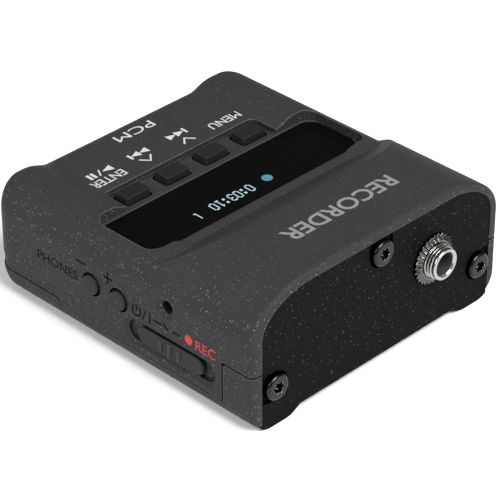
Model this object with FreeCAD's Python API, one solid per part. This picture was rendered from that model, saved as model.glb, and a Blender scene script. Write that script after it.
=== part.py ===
import FreeCAD, Part
import math
import os

# Portable field recorder, lying on its back. Millimetres.
# +X is the side with the volume buttons and the record slider, +Y is the end with the
# microphone jack, +Z is the face with the display and keys. z = 0 is the underside.

V = FreeCAD.Vector
X, Y, Z = V(1, 0, 0), V(0, 1, 0), V(0, 0, 1)

# ---- case, outside -----------------------------------------------------------------
caseWidth = 52.0
caseLength = 55.6
caseHeight = 22.7             # raised end, over the label face
deckHeight = 19.1             # the two long ridges beside the keys
troughDepth = 1.1             # label floor, below the ridges
keyStep = 0.8                 # key shelf, below the label floor
windowStep = 0.15             # glass, below the key shelf
ridgeWidth = 10.2             # from the case's side to the label floor
ridgeBank = 3.0               # across the bank between label floor and crest
raisedShoulder = (12.5, 7.7)  # elliptical shoulder of the raised end: across, down
deckShoulder = 5.2            # round shoulder of the ridges
bottomCorner = 4.0
sideCornerRadius = 4.5        # upright corners at the battery end
endEdgeRadius = 3.2           # top and bottom edges at the battery end
panelCornerRadius = 1.0       # upright corners at the jack end
slopeSetback = 23.1           # foot of the slope, from the jack end
slopeLength = 8.5             # along Y, up to the raised top
crestRadius = 4.0
railWidth = 7.8               # underside rail, from the case's side
channelBank = 1.8             # across the bank between rail and channel
channelDepth = 1.15
railRadius = 4.0
wall = 1.6
sideWall = 2.0

# ---- parting lines -----------------------------------------------------------------
seamGap = 0.2
blockGap = 0.32               # round the corner block
bandTop = 6.4                 # top of the lower case's band at the battery end
bandLength = 17.5             # from the battery end
bandInset = 0.12
lipOverlap = 0.4              # inner floor under the upper case's side wall
stripTop = 3.3                # lower case's strip along the sides
stripStart = -1.5
middleTop = 2.9               # lower case between band and strip
blockLength = 5.9             # corner block beside the end panel
blockTop = 9.9
doorTop = 4.3
doorLength = 15.6
doorCorner = 1.6
doorGap = 0.2
doorTravel = 10.4
hookInset = 1.5               # from the side wall's inner face
hookSetback = 2.0             # from the door's seam
hookWidth = 1.6
hookStem = 0.45
hookArm = 0.6
ledgeThickness = 0.9
ledgeReach = 0.8
gripHalf = 7.0
gripSetback = 4.8             # from the door's seam
gripPitch = 1.2
gripWidth = 0.5
gripDepth = 0.35
gripCount = 5

# ---- end panel ---------------------------------------------------------------------
panelThickness = 2.0
panelRim = 1.9                # case beside the end panel
panelTop = 21.4
panelShoulder = (9.7, 6.0)
panelGap = 0.08
panelInset = 0.1              # panel face behind the rim
ledge = 1.5
ledgeDepth = 1.6
screwInset = 2.6              # from the panel's side
cornerScrewZ = 6.9
topScrewZ = 19.1
screwHeadRadius = 2.1
screwProud = 0.8              # head over the panel's face
screwShank = 1.0
screwLength = 7.0
screwClearance = 0.15
screwRecess = 0.5             # head's seat under the panel's face
screwSocket = (0.72, 0.32)    # six-lobe socket: core, lobe
bossRadius = 2.3
bossLength = 8.0

# ---- window and keys ---------------------------------------------------------------
windowMargin = 3.4            # from the case's side
windowSetback = 19.7          # from the battery end
windowLead = 1.5              # between the glass and the foot of the slope
windowCorner = 2.4
windowGap = 0.1
glassThickness = 1.0
rimChamfer = 0.3
keyPitch = 8.1
keysShift = 0.3               # row of keys, towards +X
keySetback = 17.12            # from the battery end
keyTop = (4.5, 2.8)
keyBase = (5.2, 3.3)
keyProud = 1.1
keyGap = 0.15
keyFlange = 0.5
keyTravel = 0.4
keyShelfMargin = (0.95, 1.02) # shelf round the keys: across, along
keyCount = 4

# ---- side controls -----------------------------------------------------------------
buttonY = (-5.2, 0.6)
buttonZ = 10.5
buttonRadius = 1.6
buttonGap = 0.35
buttonProud = 0.5
buttonTravel = 0.3
sliderSetback = 16.6          # from the jack end
sliderZ = 6.75
sliderLength = 13.2
sliderHeight = 3.0
sliderGap = 0.2
sliderEndGap = 0.5
sliderTravel = 1.8
sliderProud = 0.0             # its face lies flush with the side
ribProud = 0.25
ribPitch = 1.85
pocketDepth = 0.9
pocketBevel = 0.7
indicatorSetback = 17.4       # from the jack end
indicatorZ = 13.75
indicatorRadius = 1.05
dishRadius = 1.9
dishDepth = 0.45
lensSunk = 0.9                # behind the dish

# ---- microphone jack ---------------------------------------------------------------
micX = -11.2
jackWall = 0.3                # body of the jack below its thread
plugRadius = 1.8              # bore for a 3.5 mm plug, with its clearance
threadRadius = 3.0            # under the nut
freeThreadRadius = 2.6        # outside the nut, for a plug's locking ring
barrelLength = 8.6
barrelProud = 2.7             # beyond the end panel
barrelClearance = 0.1
nutRadius = 4.2
nutThickness = 0.9
nutTeeth = 24
jackDepth = 7.0

# ---- left side sockets -------------------------------------------------------------
phonesSetback = 20.2          # from the jack end
phonesZ = 11.6
usbSetback = 23.3             # from the battery end
usbZ = 11.0
usbShell = (7.6, 5.2, 2.7)    # along Y, deep, high
cardSetback = 18.6            # from the jack end
cardSlot = (11.6, 1.3)        # along Y, high
cardBody = (14.0, 14.5, 1.5)  # along Y, deep, high

# ---- inside ------------------------------------------------------------------------
touchGap = 0.05               # between pieces that seat on each other
boardZ = 8.4
boardThickness = 1.0
boardMargin = 1.4             # from the side wall's inner face
boardSetback = 17.5           # from the battery end
keyBoardZ = 12.6
keyBoardThickness = 0.8
cellRadius = 5.25             # AAA cell
cellLength = 44.5
cellBackGap = 0.55
cellZ = 8.7
cellGap = 0.3
bayWall = 1.2
postRadius = 1.6
boardScrewRadius = 0.65
sheet = 0.3                   # contact leaf and socket shells
springWire = 0.22             # half the wire's thickness
springRings = (1.1, 1.7, 2.3) # from the cell to the wall
springEnds = (0.3, 0.51)      # first ring from the cell, last ring from the wall

# ---- worked out from the values above ----------------------------------------------
halfW = caseWidth / 2
backEnd = -caseLength / 2
frontEnd = caseLength / 2
troughHalf = halfW - ridgeWidth
ridgeStart = troughHalf + ridgeBank
railInner = halfW - railWidth
channelHalf = railInner - channelBank
slopeFoot = frontEnd - slopeSetback
bandEnd = backEnd + bandLength
blockStart = frontEnd - blockLength
doorEnd = backEnd + doorLength
hookX = halfW - sideWall - hookInset
hookY = doorEnd - hookSetback
gripY = doorEnd - gripSetback
panelHalf = halfW - panelRim
cornerScrewX = panelHalf - screwInset
windowHalf = halfW - windowMargin
windowBack = backEnd + windowSetback
windowFront = slopeFoot - windowLead
keyY = backEnd + keySetback
keyShelfHalf = (keyCount - 1) / 2 * keyPitch + keyBase[0] / 2 + keyShelfMargin[0]
keyShelfBack = keyY - keyBase[1] / 2 - keyShelfMargin[1]
sliderY = frontEnd - sliderSetback
indicatorY = frontEnd - indicatorSetback
boardHalf = halfW - sideWall - boardMargin
boardBack = backEnd + boardSetback
cellY = backEnd + wall + cellRadius + cellBackGap
springRoom = halfW - sideWall - cellLength / 2
phonesY = frontEnd - phonesSetback
usbY = backEnd + usbSetback
cardY = frontEnd - cardSetback
screwHeadHeight = screwRecess + screwProud
floorZ = deckHeight - troughDepth
shelfZ = floorZ - keyStep
glassZ = shelfZ - windowStep
slopeRise = caseHeight - shelfZ
ceilingZ = shelfZ - wall + 0.15
trayFloor = channelDepth + wall
panelBack = frontEnd - panelInset - panelThickness
cardZ = boardZ - touchGap - cardBody[2] / 2
boardTop = boardZ + boardThickness
micZ = boardTop + touchGap * 2 + jackWall + threadRadius + barrelClearance
keyBoardTop = keyBoardZ + keyBoardThickness
keyXs = [keysShift + (i - (keyCount - 1) / 2) * keyPitch for i in range(keyCount)]
keyNames = ["menu_key", "rewind_key", "forward_key", "enter_key"]


# ---- plain shapes ------------------------------------------------------------------
def box(x0, x1, y0, y1, z0, z1):
    return Part.makeBox(x1 - x0, y1 - y0, z1 - z0, V(x0, y0, z0))


def rod(radius, start, axis, length):
    return Part.makeCylinder(radius, length, V(*start), axis)


def cone(r0, r1, start, axis, length):
    return Part.makeCone(r0, r1, length, V(*start), axis)


def join(first, *others):
    return first.fuse(list(others)).removeSplitter()


def cornerArc(p, a, b, radius):
    """Arc that rounds corner p between unit directions a and b, with its two ends."""
    if isinstance(radius, tuple):
        ra, rb = [radius[0] if abs(d.x) > 0.5 else radius[1] for d in (a, b)]
        centre = p + a * ra + b * rb
        major, minor = (b * -rb, a * -ra) if rb > ra else (a * -ra, b * -rb)
        oval = Part.Ellipse(centre + major, centre + minor, centre)
        low, high = sorted(oval.parameter(q) for q in (p + a * ra, p + b * rb))
        if high - low > math.pi:
            low, high = high, low + 2 * math.pi
        return p + a * ra, p + b * rb, Part.ArcOfEllipse(oval, low, high)
    half = math.acos(max(-1.0, min(1.0, a.dot(b)))) / 2
    reach = radius / math.tan(half)
    middle = (a + b).normalize() * (radius / math.sin(half) - radius)
    return p + a * reach, p + b * reach, Part.Arc(p + a * reach, p + middle, p + b * reach)


def outline(points):
    """Closed face in the XY plane from (x, y, corner radius) points; None is a sharp corner."""
    count = len(points)
    corners = []
    for i, (x, y, radius) in enumerate(points):
        p = V(x, y, 0)
        a = (V(*points[i - 1][:2], 0) - p).normalize()
        b = (V(*points[(i + 1) % count][:2], 0) - p).normalize()
        corners.append(cornerArc(p, a, b, radius) if radius else (p, p, None))
    edges = []
    for i, (start, end, arc) in enumerate(corners):
        if arc:
            edges.append(arc.toShape())
        following = corners[(i + 1) % count][0]
        if (following - end).Length > 1e-6:
            edges.append(Part.LineSegment(end, following).toShape())
    return Part.Face(Part.Wire(Part.__sortEdges__(edges)))


def alongY(points, y0, y1):
    """Prism along Y from (x, z, radius) points."""
    face = outline(points)
    face.rotate(V(0, 0, 0), X, 90)
    face.translate(V(0, y0, 0))
    return face.extrude(V(0, y1 - y0, 0))


def alongX(points, x0, x1):
    """Prism along X from (y, z, radius) points."""
    face = outline(points)
    face.rotate(V(0, 0, 0), X, 90)
    face.rotate(V(0, 0, 0), Z, 90)
    face.translate(V(x0, 0, 0))
    return face.extrude(V(x1 - x0, 0, 0))


def alongZ(points, z0, z1):
    face = outline(points)
    face.translate(V(0, 0, z0))
    return face.extrude(V(0, 0, z1 - z0))


def rect(x0, x1, y0, y1, radius=None):
    return [(x0, y0, radius), (x1, y0, radius), (x1, y1, radius), (x0, y1, radius)]


def plate(x0, x1, y0, y1, z0, z1, radius):
    return alongZ(rect(x0, x1, y0, y1, radius), z0, z1)


def stadium(y, z, length, height, x0, x1):
    return alongX(rect(y - length / 2, y + length / 2, z - height / 2, z + height / 2,
                       height / 2 * 0.999), x0, x1)


def bothSides(x0, x1, y0, y1, z0, z1):
    """A box at +X and its twin at -X."""
    return [box(x0, x1, y0, y1, z0, z1), box(-x1, -x0, y0, y1, z0, z1)]


def save(name, *solids):
    """Write one node, moved so that the origin is under the middle of the whole object."""
    shape = solids[0] if len(solids) == 1 else Part.makeCompound(list(solids))
    shape.translate(V(-buttonProud / 2, -(barrelProud - panelInset) / 2, 0))
    shape.exportStep("parts/%s.step" % name)


# ---- the case's outer form ---------------------------------------------------------
def caseSection(top, shoulder, width=halfW, rise=0.0):
    """Cross-section from the underside rails up to a shouldered top."""
    return [(-width, rise, bottomCorner), (-railInner, rise, railRadius),
            (-channelHalf, channelDepth + rise, 1.0), (channelHalf, channelDepth + rise, 1.0),
            (railInner, rise, railRadius), (width, rise, bottomCorner),
            (width, top, shoulder), (-width, top, shoulder)]


def roundedDeck():
    """Low body with both ridges, all its battery-end edges rounded."""
    body = alongY(caseSection(deckHeight, deckShoulder), backEnd, frontEnd)

    def radiusAt(point):
        upright = bottomCorner - 0.01 <= point.z <= deckHeight - deckShoulder + 0.01
        return sideCornerRadius if upright and abs(point.x) > halfW - 0.01 else endEdgeRadius

    rounding = []
    for number, edge in enumerate(body.Edges, 1):
        if all(abs(vertex.Y - backEnd) < 1e-6 for vertex in edge.Vertexes):
            ends = [edge.valueAt(edge.FirstParameter), edge.valueAt(edge.LastParameter)]
            rounding.append((number, radiusAt(ends[0]), radiusAt(ends[1])))
    deckDocument = FreeCAD.newDocument("deck")
    base = deckDocument.addObject("Part::Feature", "base")
    base.Shape = body
    fillet = deckDocument.addObject("Part::Fillet", "fillet")
    fillet.Base = base
    fillet.Edges = rounding
    deckDocument.recompute()
    return fillet.Shape.Solids[0]


def troughCutter():
    """Label floor: one profile carried along a line that rolls over the battery end."""
    lift = 0.05
    high = caseHeight + 5
    profile = outline([(-halfW - 5, deckHeight + lift, None), (-ridgeStart, deckHeight + lift, 5.0),
                       (-troughHalf, floorZ, 5.0), (troughHalf, floorZ, 5.0),
                       (ridgeStart, deckHeight + lift, 5.0), (halfW + 5, deckHeight + lift, None),
                       (halfW + 5, high, None), (-halfW - 5, high, None)])
    profile.rotate(V(0, 0, 0), X, 90)
    rollRadius = endEdgeRadius * 1.5
    rollStart = backEnd + endEdgeRadius * 1.2
    profile.translate(V(0, frontEnd, 0))
    start, bend = V(0, frontEnd, floorZ), V(0, rollStart, floorZ)

    def onRoll(turn):
        return V(0, rollStart - rollRadius * math.sin(turn), floorZ - rollRadius * (1 - math.cos(turn)))

    path = Part.Wire([Part.LineSegment(start, bend).toShape(),
                      Part.Arc(bend, onRoll(0.5), onRoll(1.0)).toShape()])
    sweep = Part.BRepOffsetAPI.MakePipeShell(path)
    sweep.setTrihedronMode(V(0, 0, 0), Z)
    sweep.add(profile.OuterWire)
    sweep.build()
    sweep.makeSolid()
    return sweep.shape()


def raisedEnd():
    """Raised part under the slope."""
    prism = alongY(caseSection(caseHeight, raisedShoulder), backEnd, frontEnd)
    steep = slopeRise / slopeLength
    low = 8.0
    under = alongX([(slopeFoot - (shelfZ - low) / steep, low, None),
                    (frontEnd + 1, low, None), (frontEnd + 1, caseHeight + 0.02, None),
                    (slopeFoot + slopeLength, caseHeight + 0.02, crestRadius)],
                   -halfW - 1, halfW + 1)
    return prism.common(under)


def partingRegion(lift):
    """All that belongs to the lower case: below the parting line, plus the inner floor."""
    far = caseLength
    floorHalf = halfW - sideWall + lipOverlap + lift
    innerFloor = box(-floorHalf, floorHalf, bandEnd - 1, panelBack, -1, trayFloor + lift)
    wide = blockGap if lift else 0
    sides = alongX([(-far, -1, None), (far, -1, None), (far, blockTop + wide, None),
                   (blockStart - wide, blockTop + wide, 0.5), (blockStart - wide, stripTop + lift, None),
                   (stripStart, stripTop + lift, 1.0), (stripStart - 2, middleTop + lift, 1.0),
                   (bandEnd + 2, middleTop + lift, 1.5), (bandEnd + lift, bandTop + lift, 1.0),
                   (-far, bandTop + lift, None)], -caseWidth, caseWidth)
    return sides.fuse(innerFloor)


def doorRegion(grow):
    """The block of the case that slides off, with a rounded corner in its seam."""
    far = caseLength
    return alongX([(-far, -1, None), (doorEnd + grow, -1, None),
                   (doorEnd + grow, doorTop + grow, doorCorner + grow), (-far, doorTop + grow, None)],
                  -caseWidth, caseWidth)


def panelOutline(gap):
    """Seam between end panel and case; below, the panel runs down to the underside."""
    half, top = panelHalf + gap, panelTop + gap
    return [(-half, -5, None), (half, -5, None),
            (half, top, (panelShoulder[0] + gap, panelShoulder[1] + gap)),
            (-half, top, (panelShoulder[0] + gap, panelShoulder[1] + gap))]


def outerCase():
    """The whole closed outer form, before it is parted into pieces."""
    body = roundedDeck().cut(troughCutter()).fuse(raisedEnd()).removeSplitter()
    front = [edge for edge in body.Edges
             if all(abs(vertex.Y - frontEnd) < 1e-6 for vertex in edge.Vertexes)]
    return body.makeFillet(panelCornerRadius, front)


def cavity():
    """Room inside both halves of the case."""
    inner = halfW - sideWall
    back, front = backEnd + wall, panelBack - ledgeDepth
    deck = alongY(rect(-inner, inner, trayFloor, ceilingZ, 1.2), back, front)
    plan = plate(-inner, inner, back, front + 20, 0, caseHeight, sideCornerRadius - wall)
    steep = slopeRise / slopeLength
    lift = wall / math.cos(math.atan(steep))
    top = caseHeight - wall
    raised = alongY([(-inner, trayFloor, None), (inner, trayFloor, None),
                     (inner, top, (raisedShoulder[0] - sideWall, raisedShoulder[1] - wall)),
                     (-inner, top, (raisedShoulder[0] - sideWall, raisedShoulder[1] - wall))],
                    back, front)
    low = trayFloor
    footY = slopeFoot + (low - shelfZ + lift) / steep
    crestY = slopeFoot + (top - shelfZ + lift) / steep
    under = alongX([(footY, low, None), (frontEnd, low, None), (frontEnd, top + 1, None),
                    (crestY + 1 / steep, top + 1, None)], -halfW, halfW)
    return deck.common(plan).fuse(raised.common(under)).removeSplitter()


def frontOpening():
    """Mouth behind the end panel, one ledge smaller than the panel all round."""
    return alongY([(-panelHalf + ledge, trayFloor, 1.0), (panelHalf - ledge, trayFloor, 1.0),
                   (panelHalf - ledge, panelTop - ledge,
                    (panelShoulder[0] - ledge, panelShoulder[1] - ledge)),
                   (-panelHalf + ledge, panelTop - ledge,
                    (panelShoulder[0] - ledge, panelShoulder[1] - ledge))],
                  panelBack - ledgeDepth - 1, panelBack + 1)


def screwPlaces():
    return [(cornerScrewX, cornerScrewZ), (-cornerScrewX, cornerScrewZ), (0, topScrewZ)]


def screwPilots():
    return [rod(screwShank + screwClearance, (x, frontEnd, z), -Y, screwLength + 2)
            for x, z in screwPlaces()]


# ---- upper case --------------------------------------------------------------------
def windowPocket():
    """Recess round the glass, the hole under it, and the shelf in front of it."""
    surround = plate(-windowHalf, windowHalf, windowBack, slopeFoot, shelfZ, caseHeight, windowCorner)
    recess = plate(-windowHalf, windowHalf, windowBack + rimChamfer, windowFront,
                   glassZ - glassThickness - windowGap, caseHeight, windowCorner)
    view = plate(-windowHalf + 1.2, windowHalf - 1.2, windowBack + rimChamfer + 1.2,
                 windowFront - 1.2, 0, caseHeight, windowCorner - 1.2)
    return surround, recess, view


def keyHoles():
    return [plate(x - keyBase[0] / 2 - keyGap, x + keyBase[0] / 2 + keyGap,
                  keyY - keyBase[1] / 2 - keyGap, keyY + keyBase[1] / 2 + keyGap,
                  0, caseHeight, 0.6) for x in keyXs]


def stadiumWire(grow, x):
    length = sliderLength + 2 * (sliderTravel + sliderEndGap + grow)
    height = sliderHeight + 2 * (sliderGap + grow)
    face = stadium(sliderY, sliderZ, length, height, x, x + 1).Faces
    return [f for f in face if abs(f.CenterOfMass.x - x) < 1e-6][0].OuterWire


def sliderPocket():
    """Stadium pocket that the record slider runs in, with a wide bevel round it."""
    pocket = Part.makeLoft([stadiumWire(0, halfW - pocketDepth), stadiumWire(0, halfW + 1)], True, True)
    bevel = Part.makeLoft([stadiumWire(0, halfW - pocketBevel / 2),
                           stadiumWire(pocketBevel * 1.2, halfW + 0.1)], True, True)
    slot = box(halfW - 5, halfW, sliderY - sliderTravel - 1.6, sliderY + sliderTravel + 1.6,
               sliderZ - 0.7, sliderZ + 0.7)
    return [pocket, bevel, slot]


def sideHoles():
    holes = [rod(buttonRadius + buttonGap, (halfW - 6, y, buttonZ), X, 8) for y in buttonY]
    holes.append(rod(indicatorRadius, (halfW - 6, indicatorY, indicatorZ), X, 8))
    holes.append(cone(indicatorRadius, dishRadius, (halfW - dishDepth, indicatorY, indicatorZ), X,
                      dishDepth * 1.001))
    return holes + sliderPocket()


def leftSockets():
    slack = 0.15
    across, _, high = usbShell
    return [rod(3.2, (-halfW + 6, phonesY, phonesZ), -X, 8),
            box(-halfW - 1, -halfW + 6, usbY - across / 2 - slack, usbY + across / 2 + slack,
                usbZ - high / 2 - slack, usbZ + high / 2 + slack),
            box(-halfW - 1, -halfW + 6, cardY - cardSlot[0] / 2 - slack, cardY + cardSlot[0] / 2 + slack,
                cardZ - cardSlot[1] / 2, cardZ + cardSlot[1] / 2)]


def cellSaddles():
    """Ribs under the roof that stop the cell from lifting."""
    saddles = [box(x - 0.6, x + 0.6, backEnd + wall - 0.1, doorEnd - 1.4, cellZ + 1.5, ceilingZ + 0.1)
               for x in (-cellLength * 0.27, cellLength * 0.27)]
    cell = rod(cellRadius + cellGap, (-halfW, cellY, cellZ), X, caseWidth)
    return [saddle.cut(cell) for saddle in saddles]


def upperCase(outer):
    case = outer.cut(partingRegion(seamGap)).cut(cavity())
    case = case.cut(alongY(panelOutline(panelGap), panelBack, frontEnd + 2)).cut(frontOpening())
    boss = rod(bossRadius, (0, panelBack, topScrewZ), -Y, bossLength)
    web = box(-bossRadius, bossRadius, panelBack - bossLength, panelBack, topScrewZ, caseHeight - 1.0)
    case = case.fuse([boss, web] + cellSaddles())
    shelf = plate(keysShift - keyShelfHalf, keysShift + keyShelfHalf, keyShelfBack, windowBack + 3, shelfZ, caseHeight, 1.4)
    surround, recess, view = windowPocket()
    case = case.cut([shelf, surround, recess, view] + keyHoles() + sideHoles() + leftSockets())
    return case.cut(screwPilots()).removeSplitter()


# ---- lower case and door -----------------------------------------------------------
def insetSkin():
    """Thin skin taken off the band so that it sits a little inside the upper case."""
    outside = box(-halfW - 1, halfW + 1, backEnd - 1, bandEnd + 0.01, bottomCorner, bandTop + seamGap)
    inside = alongZ([(-halfW + bandInset, backEnd + bandInset, sideCornerRadius - bandInset),
                     (halfW - bandInset, backEnd + bandInset, sideCornerRadius - bandInset),
                     (halfW - bandInset, frontEnd, None), (-halfW + bandInset, frontEnd, None)],
                    0, caseHeight)
    return outside.cut(inside)


def doorLedges():
    """Two inward ledges that the door's hooks run under when it slides."""
    inner = halfW - sideWall
    return bothSides(inner - ledgeReach, inner + 0.1, hookY - doorTravel * 0.6, doorEnd - 0.4,
                     doorTop + doorGap, doorTop + ledgeThickness)


def lowerCase(outer):
    case = outer.common(partingRegion(0)).cut(cavity())
    case = case.cut(alongY(panelOutline(panelGap), panelBack, frontEnd + 2)).cut(frontOpening())
    case = case.cut(doorRegion(doorGap)).cut(insetSkin())
    inner = halfW - sideWall
    root = trayFloor - 0.2
    blocks = bothSides(cornerScrewX, inner + 1, blockStart + 0.3, panelBack, root,
                       cornerScrewZ + bossRadius)
    bosses = [rod(bossRadius, (side * cornerScrewX, panelBack, cornerScrewZ), -Y, bossLength)
              for side in (-1, 1)]
    dividerY = doorEnd + doorGap + 0.1
    divider = box(-inner + 0.5, inner - 0.5, dividerY, dividerY + bayWall, root, keyBoardZ - 0.3)
    posts = [rod(postRadius, (x, y, root), Z, boardZ - root) for x, y in boardPosts()]
    pilots = [rod(boardScrewRadius + screwClearance, (x, y, trayFloor + 1), Z, boardZ)
              for x, y in boardPosts()]
    case = case.fuse(blocks + bosses + posts + [divider] + doorLedges())
    return case.cut(screwPilots() + pilots).removeSplitter()


def batteryDoor(outer):
    """Sliding door: a shallow tray with two hooks and finger ridges."""
    inner = halfW - sideWall
    door = outer.common(doorRegion(0))
    door = door.cut(plate(-inner, inner, backEnd + wall, doorEnd + 10, trayFloor, doorTop + 5,
                          sideCornerRadius - wall))
    armZ = doorTop + ledgeThickness + doorGap
    stems = bothSides(hookX, hookX + hookStem, hookY, hookY + hookWidth, trayFloor - 0.3, armZ + hookArm)
    arms = bothSides(hookX, inner - 0.25, hookY, hookY + hookWidth, armZ, armZ + hookArm)
    grooves = [box(-gripHalf, gripHalf, gripY - i * gripPitch, gripY - i * gripPitch + gripWidth,
                   channelDepth - 1, channelDepth + gripDepth) for i in range(gripCount)]
    return door.fuse(stems + arms).cut(grooves).removeSplitter()


# ---- end panel ---------------------------------------------------------------------
def endPanel(outer):
    plate0 = alongY(panelOutline(0), panelBack, frontEnd - panelInset)
    section = alongY(caseSection(caseHeight + 5, None), panelBack, frontEnd)
    panel = plate0.common(section)
    recesses = []
    reach = screwHeadRadius + 0.35
    face = frontEnd - panelInset
    for x, z in screwPlaces():
        well = rod(reach, (x, face - screwRecess, z), Y, 3)
        if x == 0:
            mouth = box(-reach, reach, face - screwRecess, face + 3, z, caseHeight)
        else:
            mouth = box(min(x, 3 * x), max(x, 3 * x), face - screwRecess, face + 3, z - reach, z + reach)
        recesses += [well, mouth, rod(screwShank + screwClearance, (x, face + 1, z), -Y, 6)]
    hole = rod(threadRadius + barrelClearance, (micX, panelBack - 1, micZ), Y, 5)
    return panel.cut(recesses + [hole]).removeSplitter()


def endScrew(x, z):
    """Pan-head screw with a six-lobe socket."""
    seat = frontEnd - panelInset - screwRecess
    head = rod(screwHeadRadius, (x, seat, z), Y, screwHeadHeight)
    head = head.makeFillet(0.45, [e for e in head.Edges if e.Vertexes[0].Y > seat + 0.5 and e.Length > 5])
    core, lobe = screwSocket
    lobes = [rod(lobe, (x + core * math.cos(a), seat + 0.3, z + core * math.sin(a)), Y, 2)
             for a in [k * math.pi / 3 for k in range(6)]]
    lobes.append(rod(core, (x, seat + 0.3, z), Y, 2))
    return head.fuse(rod(screwShank, (x, seat, z), -Y, screwLength)).cut(lobes).removeSplitter()


# ---- keys, buttons, slider ---------------------------------------------------------
def key(x):
    low, high = shelfZ - 0.6, shelfZ + keyProud
    lower = Part.Wire(outline(rect(x - keyBase[0] / 2, x + keyBase[0] / 2, keyY - keyBase[1] / 2,
                                   keyY + keyBase[1] / 2, 0.45)).OuterWire)
    upper = Part.Wire(outline(rect(x - keyTop[0] / 2, x + keyTop[0] / 2, keyY - keyTop[1] / 2,
                                   keyY + keyTop[1] / 2, 0.45)).OuterWire)
    lower.translate(V(0, 0, low))
    upper.translate(V(0, 0, high))
    cap = Part.makeLoft([lower, upper], True, True)
    cap = cap.makeFillet(0.22, [e for e in cap.Edges if all(abs(v.Z - high) < 1e-6 for v in e.Vertexes)])
    skirt = plate(x - keyBase[0] / 2, x + keyBase[0] / 2, keyY - keyBase[1] / 2, keyY + keyBase[1] / 2,
                  ceilingZ - keyTravel - 0.3, low, 0.45)
    flange = plate(x - keyBase[0] / 2 - keyFlange, x + keyBase[0] / 2 + keyFlange,
                   keyY - keyBase[1] / 2 - 0.4, keyY + keyBase[1] / 2 + 0.4,
                   ceilingZ - keyTravel - 0.3, ceilingZ - 0.05, 0.5)
    return join(cap, skirt, flange)


def volumeButton(y):
    tip = rod(buttonRadius, (halfW - 2.2, y, buttonZ), X, 2.2 + buttonProud)
    tip = tip.makeFillet(0.3, [e for e in tip.Edges if e.Vertexes[0].X > halfW])
    flange = rod(buttonRadius + 0.7, (halfW - sideWall - 0.6, y, buttonZ), X, 0.55)
    return join(tip, flange, rod(0.8, (halfW - sideWall - 1.1, y, buttonZ), X, 0.6))


def recordSlider():
    knob = stadium(sliderY, sliderZ, sliderLength, sliderHeight, halfW - pocketDepth + 0.1,
                   halfW + sliderProud)
    knob = knob.makeFillet(0.2, [e for e in knob.Edges
                                 if all(v.X > halfW + sliderProud - 0.01 for v in e.Vertexes)])
    ribs = [box(halfW + sliderProud - 0.1, halfW + sliderProud + ribProud, y - 0.22, y + 0.22,
                sliderZ - h, sliderZ + h)
            for y, h in ((sliderY - ribPitch, 0.75), (sliderY, 1.1), (sliderY + ribPitch, 0.75))]
    tongue = box(halfW - sideWall - 1.0, halfW - pocketDepth + 0.2, sliderY - 1.2, sliderY + 1.2,
                 sliderZ - 0.5, sliderZ + 0.5)
    fork = [box(halfW - sideWall - 1.9, halfW - sideWall - 0.3, sliderY + s - 0.3, sliderY + s + 0.3,
                sliderZ - 0.5, sliderZ + 0.5) for s in (-0.9, 0.9)]
    return join(knob, tongue, *ribs, *fork)


def switchLever():
    return box(halfW - sideWall - 3.6, halfW - sideWall - 1.2, sliderY - 0.55, sliderY + 0.55,
               sliderZ - 0.45, sliderZ + 0.45)


def indicatorLens():
    """Light pipe from the board's lamp up to the dished window."""
    front = halfW - dishDepth - lensSunk
    pipe = rod(indicatorRadius - 0.05, (halfW - 4.0, indicatorY, indicatorZ), X, front - halfW + 4.0)
    leg = box(halfW - 4.8, halfW - 3.0, indicatorY - 0.9, indicatorY + 0.9, boardTop + 1.0,
              indicatorZ + 0.9)
    return join(pipe, leg)


# ---- microphone jack ---------------------------------------------------------------
def micBarrel():
    front = frontEnd - panelInset + barrelProud
    nutTop = frontEnd - panelInset + nutThickness
    free = rod(freeThreadRadius, (micX, front - barrelLength, micZ), Y, barrelLength)
    free = free.makeChamfer(0.3, [e for e in free.Edges if e.Vertexes[0].Y > front - 0.1])
    tube = rod(threadRadius, (micX, front - barrelLength, micZ), Y, nutTop - front + barrelLength)
    flange = rod(threadRadius + 0.8, (micX, panelBack - 1.0, micZ), Y, 1.0 - touchGap)
    bore = rod(plugRadius, (micX, front - barrelLength - 1, micZ), Y, barrelLength + 2)
    return join(free, tube, flange).cut(bore)


def micNut():
    seat = frontEnd - panelInset
    ring = rod(nutRadius, (micX, seat, micZ), Y, nutThickness)
    ring = ring.makeChamfer(0.25, [e for e in ring.Edges if e.Vertexes[0].Y > seat + 0.5])
    teeth = []
    for k in range(nutTeeth):
        a = 2 * math.pi * k / nutTeeth
        teeth.append(rod(0.26, (micX + nutRadius * math.cos(a), seat - 1, micZ + nutRadius * math.sin(a)),
                         Y, nutThickness + 2))
    return ring.cut(teeth + [rod(threadRadius + 0.04, (micX, seat - 1, micZ), Y, nutThickness + 2)])


def micBody():
    front = panelBack - 1.0 - 2 * touchGap
    reach = threadRadius + barrelClearance + jackWall
    body = box(micX - reach - 0.2, micX + reach + 0.2, front - jackDepth, front,
               boardTop + 2 * touchGap, micZ + reach + 0.2)
    bore = rod(threadRadius + barrelClearance, (micX, front - 5, micZ), Y, 6)
    deepBore = rod(plugRadius + 0.2, (micX, front - jackDepth + 0.8, micZ), Y, jackDepth)
    return body.cut([bore, deepBore])


# ---- left side sockets -------------------------------------------------------------
def phonesJack():
    face = -halfW + 0.15
    collar = rod(3.05, (face, phonesY, phonesZ), X, 3.0)
    body = box(face + 2.4, face + 12.5, phonesY - 3.2, phonesY + 3.2, boardTop + 0.1, phonesZ + 3.0)
    bore = rod(plugRadius, (face - 1, phonesY, phonesZ), X, 12.6)
    return join(collar, body).cut(bore)


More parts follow.
